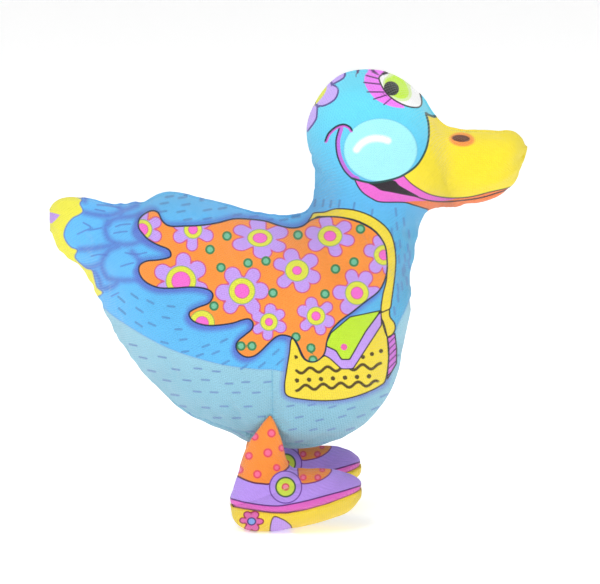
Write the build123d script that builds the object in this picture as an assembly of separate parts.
from build123d import *
import math
import os

# Stuffed canvas duck, a squeaking pet toy. Millimetres, +Z up, +X towards the
# bill, +Y to the duck's left. Origin on the ground under the middle of the
# bounding box. The duck stands on two boot-shaped feet.

SIDES = ((-1, "right"), (1, "left"))   # sign of y, word in the file names

# ---------------------------------------------------------------- dimensions
CANVAS = 0.8            # thickness of the canvas
FILL_GAP = 0.5          # clearance between canvas and fibre filling
SEAM_GAP = 0.9          # width of the valley between two sewn panels
THREAD_R = 0.32         # sewing thread in a body seam
LEG_THREAD_R = 0.26     # sewing thread in a leg seam
THREAD_SIDES = 6
STITCH_R = 0.28

BODY_STEP = 10.5        # spacing of the cross-sections along the body
FLANK_STEPS = 8         # facets down one flank of a cross-section
SECTION_POWER = 0.93    # below 1 the cross-sections are fuller than an ellipse
RING_POINTS = 14        # points round a boot or leg section
BOOT_POWER = 0.75       # the same as SECTION_POWER, for the boot

HIP_X, HIP_Z = -11.5, 48.0       # line the legs swing about
HIP_R = 9.6                      # round top of a leg
HIP_Y_IN, HIP_Y_OUT = 26.0, 36.0
HIP_CLEAR = 0.9                  # room round it in the canvas
HIP_FILL_CLEAR = HIP_CLEAR + 0.6   # room round it in the filling
POCKET_DEPTH = 60.0              # runs out past the flank
LEG_Y = 26.0                     # middle of a foot, each side of the centre plane
LEG_SEAM_Y = 27.5                # plane of the seam between the two leg panels
SOLE_GAP_HALF = 0.3              # half the gap between sole and upper

GUSSET_REAR_X, GUSSET_FRONT_X = -78.0, 44.0   # ends of the belly gusset
GUSSET_HALF = 23.0               # half its greatest width
GUSSET_POWER = 0.8               # below 1 the leaf outline is fuller than a sine
GUSSET_STEPS = 16
GUSSET_TOP = 92.0                # height of the cutter, inside the body
TIP_GROW = 2.5                   # the leaf's tips move this much more than its edges

NECK_X, NECK_Z = 36.5, 152.0     # line the head nods about
NECK_R = 21.0                    # round joint face in the filling of the neck
NECK_CLEAR = 0.8
NECK_TILT = math.radians(-50.0)  # slope of the neck's cross-section
NOD_ROOM = math.radians(21.0)    # wedge left open on each side of the neck
NECK_REACH = 90.0                # half length of the cuts across the neck
HEAD_GAP = 0.4                   # from the neck line to the head's flat face
CUT_Y = 60.0                     # half width of the neck cutters

SQK_X, SQK_Z = -2.0, 100.0       # middle of the squeaker
SQK_R = 21.0
SQK_WALL = 1.2
SQK_CAP_Y = -11.5                # outer face of the movable cap
SQK_BASE_Y = 11.5                # outer face of the fixed base
SQK_ROOM = 2.0                   # clearance all round it in the filling
SQK_PLATE_R = SQK_R - 1.0        # radius of cap and base
SQK_PLUG_R = 4.5                 # whistle plug
SQK_HOLE_R = SQK_PLUG_R + 0.1
SQK_COLLAR_R = SQK_PLUG_R + 1.4
SQK_COLLAR_DEPTH = 3.2           # from the base's outer face
SQK_PLUG_LENGTH = 6.0
SQK_BOSS_R, SQK_BOSS_DEPTH = SQK_R - 7.0, 0.8   # raised disc in the cap

BELLOWS_FOLDS = 2
BELLOWS_FOLD_DEPTH = 4.0
BELLOWS_WALL = 0.9               # measured along the radius
BELLOWS_GAP = 0.05               # clearance to cap and base

# Cross-sections of the torso, neck, head and bill, from the tail tip to the
# bill tip: (x, z) of the back seam, (x, z) of the underside seam, half width.
SECTIONS = [
    ((-119.25, 160.90), (-119.25, 145.20), 3.0),
    ((-115.00, 164.42), (-117.00, 139.46), 6.5),
    ((-109.50, 165.95), (-112.50, 134.37), 9.5),
    ((-99.50, 165.44), (-103.50, 128.26), 14.5),
    ((-88.00, 162.64), (-95.50, 113.99), 20.5),
    ((-74.50, 162.89), (-89.50, 98.71), 27.0),
    ((-60.50, 168.24), (-79.50, 83.43), 33.5),
    ((-45.50, 165.19), (-64.50, 66.62), 39.0),
    ((-29.50, 161.37), (-48.00, 52.36), 43.0),
    ((-15.50, 157.55), (-27.00, 42.18), 45.5),
    ((-4.50, 156.02), (-8.50, 36.32), 46.5),
    ((1.00, 156.02), (8.50, 35.30), 46.5),
    ((4.50, 157.29), (27.00, 40.65), 45.0),
    ((6.75, 159.07), (42.00, 52.87), 42.5),
    ((8.50, 161.37), (52.00, 68.15), 39.0),
    ((10.25, 165.44), (57.75, 89.04), 35.0),
    ((11.50, 171.04), (61.00, 109.92), 31.5),
    ((11.50, 177.16), (61.75, 127.24), 29.0),
    ((10.00, 184.29), (64.00, 139.46), 27.5),
    ((8.00, 191.42), (65.75, 149.65), 27.5),
    ((8.00, 200.08), (67.50, 155.25), 29.0),
    ((11.25, 212.30), (69.50, 157.55), 31.0),
    ((18.50, 222.49), (72.00, 158.56), 32.5),
    ((30.00, 229.36), (74.50, 159.07), 33.0),
    ((44.50, 230.89), (76.50, 159.33), 33.0),
    ((57.50, 225.29), (78.50, 159.43), 32.0),
    ((67.25, 216.63), (80.50, 159.53), 29.5),
    ((73.50, 207.46), (82.50, 159.63), 26.0),
    ((79.50, 202.11), (85.00, 159.74), 23.0),
    ((86.50, 200.08), (89.00, 160.04), 20.5),
    ((95.50, 199.82), (96.50, 161.37), 19.0),
    ((104.00, 199.57), (104.00, 164.17), 17.5),
    ((110.50, 199.31), (110.00, 166.97), 15.0),
    ((115.00, 197.53), (114.00, 170.79), 11.5),
    ((117.75, 194.73), (116.25, 175.88), 7.5),
    ((119.25, 190.91), (118.50, 182.25), 3.5),
]
TORSO = (4, 18)         # first and last section of the torso's flank

# The boot, along x: (x, lowest z, highest z, half width). The ball of the
# foot and the toe curl up off the ground.
BOOT = [
    (-30.0, 7.5, 15.5, 4.5),
    (-28.0, 3.0, 21.0, 9.0),
    (-24.0, -1.4, 28.0, 12.2),
    (-15.0, -2.0, 33.0, 13.2),
    (-5.0, -2.0, 33.0, 13.4),
    (5.0, -1.8, 31.6, 13.4),
    (13.0, 0.2, 31.6, 13.2),
    (21.0, 4.2, 30.9, 12.7),
    (28.0, 8.4, 28.6, 11.2),
    (33.0, 12.8, 25.6, 7.8),
    (35.5, 16.6, 22.0, 3.4),
]
# The leg above it, along z: (z, rear x, front x, middle y, half width).
LEG = [
    (20.0, -27.0, 1.5, 26.0, 11.6),
    (28.0, -25.4, 1.0, 26.2, 11.0),
    (33.0, -24.0, 0.0, 26.8, 9.8),
    (38.0, -22.6, -1.8, 28.0, 7.8),
    (43.0, -21.2, -2.6, 30.0, 5.8),
    (48.0, -21.0, -2.0, 31.0, 4.9),
]
# Seam between boot upper and sole, (x, z).
SOLE_LINE = [(-34.0, 12.6), (-22.0, 10.6), (-8.0, 9.6), (6.0, 10.4),
             (18.0, 12.8), (28.0, 16.0), (38.0, 20.0)]
# Thread up the back of the boot and leg, (x, z).
LEG_SEAM_LINE = [(-29.12, 16.5), (-27.52, 21.5), (-26.02, 26.0),
                 (-25.02, 30.0), (-23.52, 35.0), (-22.42, 39.0)]


# ------------------------------------------------------------------- helpers
def lerp(a, b, t):
    return a + (b - a) * t


def signed_power(value, power):
    return math.copysign(abs(value) ** power, value)


def end_shift(i, last, inset):
    """Move along x that brings the first and last sections inwards."""
    return inset if i == 0 else (-inset if i == last else 0.0)


def polygon(points):
    return Wire.make_polygon(points, close=True)


def patches(rows):
    """Flat triangles between each row of points and the next."""
    faces = []
    for p, q in zip(rows, rows[1:]):
        for i in range(len(p) - 1):
            faces.append(Face(polygon([p[i], p[i + 1], q[i + 1]])))
            faces.append(Face(polygon([p[i], q[i + 1], q[i]])))
    return faces


def end_caps(rows):
    return [Face(polygon(rows[k])) for k in (0, -1)]


def stack(rows):
    """Closed solid through a stack of polygons, its two ends flat."""
    loops = [row + [row[0]] for row in rows]
    return Solid(Shell(patches(loops) + end_caps(rows)))


def tube(points, radius):
    """Thread along a path of points."""
    path = [Vector(*p) for p in points]
    rows = []
    for i, p in enumerate(path):
        ahead = (path[min(i + 1, len(path) - 1)] - path[max(i - 1, 0)]).normalized()
        across = Vector(0, 1, 0)
        across = (across - ahead * across.dot(ahead)).normalized()
        normal = ahead.cross(across)
        angles = [2 * math.pi * k / THREAD_SIDES for k in range(THREAD_SIDES)]
        rows.append([p + across * (radius * math.cos(a)) + normal * (radius * math.sin(a))
                     for a in angles])
    return stack(rows)


def stitch(start, end):
    """Straight rod of thread between two points."""
    run = end - start
    place = Plane(origin=(start + end) / 2, z_dir=run.normalized())
    return (place * Cylinder(STITCH_R, run.length)).solid()


def cylinder_y(x, y, z, radius, length):
    """Cylinder along y, centred on the point."""
    return Pos(x, y, z) * (Rot(90, 0, 0) * Cylinder(radius, length))


def prism_y(points, y0, y1):
    """Solid between y0 and y1 with the closed outline given in (x, z)."""
    wire = polygon([Vector(x, y0, z) for x, z in points])
    return Solid.extrude(Face(wire), Vector(0, y1 - y0, 0))


def largest(shape):
    return max(shape.solids(), key=lambda s: s.volume)


def save(shape, name):
    export_step(shape, f"parts/{name}.step")


# -------------------------------------------------------------- body surface
def profile(inset):
    """SECTIONS with both seam lines moved in by inset."""
    last = len(SECTIONS) - 1
    table = []
    for i, section in enumerate(SECTIONS):
        before, after = SECTIONS[max(i - 1, 0)], SECTIONS[min(i + 1, last)]
        ends = []
        for k, flip in ((0, 1.0), (1, -1.0)):
            dx = after[k][0] - before[k][0]
            dz = after[k][1] - before[k][1]
            length = math.hypot(dx, dz)
            nx, nz = flip * dz / length, -flip * dx / length
            x, z = section[k]
            ends.append((x + nx * inset + end_shift(i, last, inset), z + nz * inset))
        table.append((ends[0], ends[1], section[2] - inset))
    return table


def monotone_slopes(s, values):
    """Slopes of a cubic through the values that doesn't overshoot them."""
    d = [(values[i + 1] - values[i]) / (s[i + 1] - s[i]) for i in range(len(s) - 1)]
    slopes = [d[0]]
    for i in range(1, len(s) - 1):
        h0, h1 = s[i] - s[i - 1], s[i + 1] - s[i]
        if d[i - 1] * d[i] <= 0:
            slopes.append(0.0)
        else:
            w1, w2 = 2 * h1 + h0, h1 + 2 * h0
            slopes.append((w1 + w2) / (w1 / d[i - 1] + w2 / d[i]))
    return slopes + [d[-1]]


def even_sections(inset):
    """The inset cross-sections resampled at even steps along the body."""
    flat = [(*back, *under, half) for back, under, half in profile(inset)]
    # Distance along the body, counting the change of half width in part.
    s = [0.0]
    for p, q in zip(flat, flat[1:]):
        s.append(s[-1] + 0.5 * (math.hypot(q[0] - p[0], q[1] - p[1])
                                + math.hypot(q[2] - p[2], q[3] - p[3]))
                 + 0.3 * abs(q[4] - p[4]))
    slopes = [monotone_slopes(s, column) for column in zip(*flat)]
    count = round(s[-1] / BODY_STEP)
    sections = []
    j = 0
    for c in range(count + 1):
        x = s[-1] * c / count
        while j < len(s) - 2 and x > s[j + 1]:
            j += 1
        h = s[j + 1] - s[j]
        t = (x - s[j]) / h
        a0, a1 = (1 + 2 * t) * (1 - t) ** 2, t * (1 - t) ** 2
        b0, b1 = t * t * (3 - 2 * t), t * t * (t - 1)
        v = [a0 * flat[j][k] + a1 * h * slopes[k][j]
             + b0 * flat[j + 1][k] + b1 * h * slopes[k][j + 1] for k in range(5)]
        sections.append(((v[0], v[1]), (v[2], v[3]), v[4]))
    return sections


def half_row(back, under, half, side):
    """Points down one flank of a cross-section, from back to underside."""
    cx, cz = (back[0] + under[0]) / 2, (back[1] + under[1]) / 2
    hx, hz = (under[0] - back[0]) / 2, (under[1] - back[1]) / 2
    row = []
    for i in range(FLANK_STEPS + 1):
        a = math.pi * i / FLANK_STEPS
        c = signed_power(math.cos(a), SECTION_POWER)
        s = math.sin(a) ** SECTION_POWER if 0 < i < FLANK_STEPS else 0.0
        row.append(Vector(cx - hx * c, side * half * s, cz - hz * c))
    return row


def duck_solid(inset):
    """The torso-to-bill volume, its surface moved in by inset."""
    rows = []
    for section in even_sections(inset):
        left = half_row(*section, 1)
        right = half_row(*section, -1)
        rows.append(left + list(reversed(right))[1:-1])
    return stack(rows)


def between_sections(first, last, steps):
    """Cross-sections interpolated straight: back x, z, under x, z, half width."""
    for one, two in zip(SECTIONS[first:last], SECTIONS[first + 1:last + 1]):
        (back0, under0, half0), (back1, under1, half1) = one, two
        for k in range(steps + 1):
            t = k / steps
            yield (lerp(back0[0], back1[0], t), lerp(back0[1], back1[1], t),
                   lerp(under0[0], under1[0], t), lerp(under0[1], under1[1], t),
                   lerp(half0, half1, t))


def belly_z(x, y):
    """Height of the underside over (x, y)."""
    found = []   # (distance in x, z)
    for tx, tz, bx, bz, half in between_sections(0, len(SECTIONS) - 1, 40):
        if abs(y) >= half:
            continue
        s = (abs(y) / half) ** (1 / SECTION_POWER)
        c = math.sqrt(max(0.0, 1 - s * s)) ** SECTION_POWER
        px = (tx + bx) / 2 + (bx - tx) / 2 * c
        pz = (tz + bz) / 2 + (bz - tz) / 2 * c
        if pz < 110:   # leaves out tail, neck and head
            found.append((abs(px - x), pz))
    return min(found, key=lambda f: f[0])[1]


def flank_y(x, z):
    """Half width of the torso at (x, z)."""
    found = []   # (distance from the section's plane, y)
    for tx, tz, bx, bz, half in between_sections(*TORSO, 20):
        length = math.hypot(bx - tx, bz - tz)
        ux, uz = (bx - tx) / length, (bz - tz) / length
        rx, rz = x - (tx + bx) / 2, z - (tz + bz) / 2
        v = rx * ux + rz * uz
        c = min(1.0, abs(v) / (length / 2)) ** (1 / SECTION_POWER)
        y = half * math.sqrt(max(0.0, 1 - c * c)) ** SECTION_POWER
        found.append((abs(-rx * uz + rz * ux), y))
    return min(found, key=lambda f: f[0])[1]


# --------------------------------------------------------------- body canvas
def hip_pockets(clear):
    """Round pockets that the tops of the legs turn in."""
    right, left = [cylinder_y(HIP_X, side * (HIP_Y_IN - clear + POCKET_DEPTH / 2), HIP_Z,
                              HIP_R + clear, POCKET_DEPTH) for side, _ in SIDES]
    return right + left


def gusset_half(x):
    """Half width of the belly gusset in plan."""
    t = (x - GUSSET_REAR_X) / (GUSSET_FRONT_X - GUSSET_REAR_X)
    return GUSSET_HALF * math.sin(math.pi * t) ** GUSSET_POWER


def leaf(grow):
    """Upright prism over the gusset's plan, a leaf pointed at both ends."""
    length = GUSSET_FRONT_X - GUSSET_REAR_X
    xs = [GUSSET_REAR_X + length * i / GUSSET_STEPS for i in range(1, GUSSET_STEPS)]
    right = [Vector(x, -(gusset_half(x) + grow), 0) for x in xs]
    left = [Vector(x, gusset_half(x) + grow, 0) for x in reversed(xs)]
    rear = Vector(GUSSET_REAR_X - TIP_GROW * grow, 0, 0)
    front = Vector(GUSSET_FRONT_X + TIP_GROW * grow, 0, 0)
    right_edge = Edge.make_spline([rear] + right + [front])
    left_edge = Edge.make_spline([front] + left + [rear])
    return Solid.extrude(Face(Wire([right_edge, left_edge])), Vector(0, 0, GUSSET_TOP))


def belly_gusset():
    zone = leaf(-SEAM_GAP / 2)
    canvas = (duck_solid(0.0) & zone) - duck_solid(CANVAS)
    return largest(canvas - hip_pockets(HIP_CLEAR))


def flank_panel(side):
    """One side's canvas: a dome of cloth whose rim lies beside the seam plane."""
    gap = SEAM_GAP / 2
    faces, rims = [], []
    for inset in (0.0, CANVAS):
        rows = []
        for back, under, half in even_sections(inset):
            rows.append([Vector(p.X, side * (gap + abs(p.Y) * (half - gap) / half), p.Z)
                         for p in half_row(back, under, half, side)])
        faces += patches(rows) + end_caps(rows)
        rims.append(polygon([r[0] for r in rows] + [r[-1] for r in reversed(rows)]))
    faces.append(Face(rims[0], [rims[1]]))
    return Solid(Shell(faces))


def side_panel(side):
    return largest(flank_panel(side) - leaf(SEAM_GAP / 2) - hip_pockets(HIP_CLEAR))


# ------------------------------------------------------------- fibre filling
def from_neck(across, up):
    """(x, z) at a distance across the neck and up it, towards the head."""
    ux, uz = math.cos(NECK_TILT), math.sin(NECK_TILT)
    return (NECK_X + ux * across - uz * up, NECK_Z + uz * across + ux * up)


HEAD_CORNERS = [from_neck(160, 160), from_neck(-110, 160)]   # beyond the head


def head_stuffing(core):
    """Filling of the head, with a round joint face below it."""
    region = prism_y([from_neck(-NECK_REACH, HEAD_GAP), from_neck(NECK_REACH, HEAD_GAP),
                      *HEAD_CORNERS], -CUT_Y, CUT_Y)
    joint = cylinder_y(NECK_X, 0, NECK_Z, NECK_R, 2 * CUT_Y)
    return largest(core & (region + joint))


def body_stuffing(core):
    """Filling of the torso, with room for head, squeaker and leg tops."""
    drop = NECK_REACH * math.tan(NOD_ROOM)
    above_neck = prism_y([(NECK_X, NECK_Z), from_neck(NECK_REACH, -drop), *HEAD_CORNERS,
                          from_neck(-NECK_REACH, -drop)], -CUT_Y, CUT_Y)
    joint_room = cylinder_y(NECK_X, 0, NECK_Z, NECK_R + NECK_CLEAR, 2 * CUT_Y)
    squeaker_room = cylinder_y(SQK_X, (SQK_CAP_Y + SQK_BASE_Y) / 2, SQK_Z, SQK_R + SQK_ROOM,
                               SQK_BASE_Y - SQK_CAP_Y + 2 * SQK_ROOM)
    fill = core - above_neck - joint_room - squeaker_room - hip_pockets(HIP_FILL_CLEAR)
    return largest(fill)


# ------------------------------------------------------- threads and stitches
def save_centre_threads():
    """Threads in the seams of the centre plane, half way into the canvas."""
    sections = even_sections(CANVAS / 2)
    back = [(b[0], 0.0, b[1]) for b, _, _ in sections]
    under = [(u[0], 0.0, u[1]) for _, u, _ in sections]
    throat = [p for p in under if p[0] > GUSSET_FRONT_X + 1]
    rump = [p for p in under if p[0] < GUSSET_REAR_X - 3]
    for word, path in (("back", back), ("throat", throat), ("rump", rump)):
        save(tube(path, THREAD_R), f"{word}_seam_thread")


def gusset_thread(side):
    """Thread beside the gusset in two runs, behind and ahead of the hip."""
    runs = []
    for start, count in ((GUSSET_REAR_X + 6, 12), (HIP_X + HIP_R + HIP_CLEAR + 2, 10)):
        xs = [start + i * 4.0 for i in range(count)]
        path = [(x, side * gusset_half(x), belly_z(x, gusset_half(x)) + CANVAS / 2)
                for x in xs]
        runs.append(tube(path, THREAD_R).solid())
    return Compound(runs)


def dart_stitches(side):
    """The dart above a leg: a short row of stitches through the canvas."""
    count, pitch, half_length, proud = 9, 2.3, 0.7, 0.05
    start_x, start_z, lean = -8.0, 61.0, 0.02
    stitches = []
    for i in range(count):
        z = start_z + i * pitch
        x = start_x + lean * (z - start_z)
        low, high = [Vector(x, side * (flank_y(x, end_z) + proud), end_z)
                     for end_z in (z - half_length, z + half_length)]
        stitches.append(stitch(low, high))
    return Compound(stitches)


def closing_stitches():
    """Slanting stitches over the filling slit, on the gusset's rear half."""
    count, start_x, pitch = 7, -52.0, 3.2
    slant, half_width, proud = 1.6, 1.5, 0.02
    stitches = []
    for i in range(count):
        x = start_x + i * pitch
        right, left = [Vector(end_x, y, belly_z(end_x, 0.0) - proud)
                       for end_x, y in ((x, -half_width), (x + slant, half_width))]
        stitches.append(stitch(right, left))
    return Compound(stitches)


# ------------------------------------------------------------------ squeaker
def disc(y0, y1, radius, hole_radius=0.0):
    """Disc on the squeaker's axis between y0 and y1."""
    middle = (y0 + y1) / 2
    body = cylinder_y(SQK_X, middle, SQK_Z, radius, y1 - y0)
    if hole_radius > 0:
        body = body - cylinder_y(SQK_X, middle, SQK_Z, hole_radius, (y1 - y0) + 2)
    return body


def squeaker_base():
    """Flat plate with a collar for the whistle plug."""
    inner_y = SQK_BASE_Y - SQK_WALL
    plate = disc(inner_y, SQK_BASE_Y, SQK_PLATE_R, SQK_HOLE_R)
    return plate + disc(SQK_BASE_Y - SQK_COLLAR_DEPTH, inner_y, SQK_COLLAR_R, SQK_HOLE_R)


def squeaker_cap():
    """Flat plate with a second disc of the boss size on its outer side."""
    plate = disc(SQK_CAP_Y, SQK_CAP_Y + SQK_WALL, SQK_PLATE_R)
    return plate + disc(SQK_CAP_Y - SQK_BOSS_DEPTH, SQK_CAP_Y, SQK_BOSS_R)


def squeaker_bellows():
    """Folds of thin wall between cap and base."""
    y_cap = SQK_CAP_Y + SQK_WALL + BELLOWS_GAP
    y_base = SQK_BASE_Y - SQK_WALL - BELLOWS_GAP
    outside = []
    for i in range(2 * BELLOWS_FOLDS + 1):
        radius = SQK_R if i % 2 else SQK_R - BELLOWS_FOLD_DEPTH
        outside.append((radius, lerp(y_cap, y_base, i / (2 * BELLOWS_FOLDS))))
    inside = [(r - BELLOWS_WALL, y) for r, y in reversed(outside)]
    wire = polygon([Vector(SQK_X + r, y, SQK_Z) for r, y in outside + inside])
    axis = Axis((SQK_X, 0, SQK_Z), (0, 1, 0))
    return revolve(Face(wire), axis=axis, revolution_arc=360)


PLUG_MIDDLE_Y = SQK_BASE_Y - SQK_PLUG_LENGTH / 2


def squeaker_whistle_plug():
    """Plug with a sound slot right through it."""
    plug = disc(SQK_BASE_Y - SQK_PLUG_LENGTH, SQK_BASE_Y, SQK_PLUG_R)
    return plug - Pos(SQK_X, PLUG_MIDDLE_Y, SQK_Z) * Box(3.2, SQK_PLUG_LENGTH + 2, 2.0)


def squeaker_reed():
    """Thin strip lying in the slot, near its top."""
    return Pos(SQK_X, PLUG_MIDDLE_Y, SQK_Z + 0.75) * Box(2.8, 5.2, 0.15)


# ---------------------------------------------------------------------- legs
def boot_row(x, low, high, half, y, inset):
    """Boot section in a plane across x."""
    cz, hz = (low + high) / 2, (high - low) / 2 - inset
    row = []
    for i in range(RING_POINTS):
        a = 2 * math.pi * (i + 0.5) / RING_POINTS
        c = signed_power(math.cos(a), BOOT_POWER)
        s = signed_power(math.sin(a), BOOT_POWER)
        row.append(Vector(x, y + (half - inset) * c, cz + hz * s))
    return row


def leg_row(z, rear, front, y, half, inset):
    """Leg section in a plane across z."""
    cx, hx = (rear + front) / 2, (front - rear) / 2 - inset
    angles = [2 * math.pi * i / RING_POINTS for i in range(RING_POINTS)]
    return [Vector(cx + hx * math.cos(a), y + (half - inset) * math.sin(a), z)
            for a in angles]


def leg_solid(side, inset):
    """Boot, leg and round hip top as one volume, cut flat underneath."""
    last = len(BOOT) - 1
    boot = stack([boot_row(x + end_shift(i, last, inset), low, high, half,
                           side * LEG_Y, inset)
                  for i, (x, low, high, half) in enumerate(BOOT)])
    leg = stack([leg_row(z, rear, front, side * y, half, inset)
                 for z, rear, front, y, half in LEG])
    hip = cylinder_y(HIP_X, side * (HIP_Y_IN + HIP_Y_OUT) / 2, HIP_Z,
                     HIP_R - inset, HIP_Y_OUT - HIP_Y_IN - 2 * inset)
    whole = boot + leg + hip
    ground = Pos(0, side * LEG_Y, inset - 50) * Box(200, 60, 100)
    return whole - ground


def sole_zone(side, shift, end_z):
    """Region from the sole line, moved by shift, down or up to end_z."""
    line = [(x, z + shift) for x, z in SOLE_LINE]
    corners = [(SOLE_LINE[-1][0], end_z), (SOLE_LINE[0][0], end_z)]
    return prism_y(line + corners, side * LEG_Y - 20, side * LEG_Y + 20)


def save_leg(side, word):
    """Sole, two upper panels, filling and back seam thread of one leg."""
    canvas = leg_solid(side, 0.0) - leg_solid(side, CANVAS)
    save(largest(canvas & sole_zone(side, -SOLE_GAP_HALF, -5.0)), f"{word}_sole_panel")

    # The upper's two panels meet up the front and the back of the leg.
    upper = canvas & sole_zone(side, SOLE_GAP_HALF, 70.0)
    seam_y = side * LEG_SEAM_Y
    for name, away in (("outer", side), ("inner", -side)):
        half_space = Pos(0, seam_y + away * (SEAM_GAP / 2 + 15), 35) * Box(120, 30, 90)
        save(largest(upper & half_space), f"{word}_leg_{name}_panel")

    save(largest(leg_solid(side, CANVAS + FILL_GAP)), f"{word}_leg_stuffing")
    save(tube([(x, seam_y, z) for x, z in LEG_SEAM_LINE], LEG_THREAD_R),
         f"{word}_leg_seam_thread")


# --------------------------------------------------------------------- build
os.makedirs("parts", exist_ok=True)

save(belly_gusset(), "belly_gusset")
filling = duck_solid(CANVAS + FILL_GAP)
save(head_stuffing(filling), "head_stuffing")
save(body_stuffing(filling), "body_stuffing")
save_centre_threads()
save(closing_stitches(), "closing_stitches")

for side, word in SIDES:
    save(side_panel(side), f"{word}_side_panel")
    save(gusset_thread(side), f"{word}_gusset_seam_thread")
    save(dart_stitches(side), f"{word}_dart_stitches")
    save_leg(side, word)

save(squeaker_base(), "squeaker_base")
save(squeaker_cap(), "squeaker_cap")
save(squeaker_bellows(), "squeaker_bellows")
save(squeaker_whistle_plug(), "squeaker_whistle_plug")
save(squeaker_reed(), "squeaker_reed")
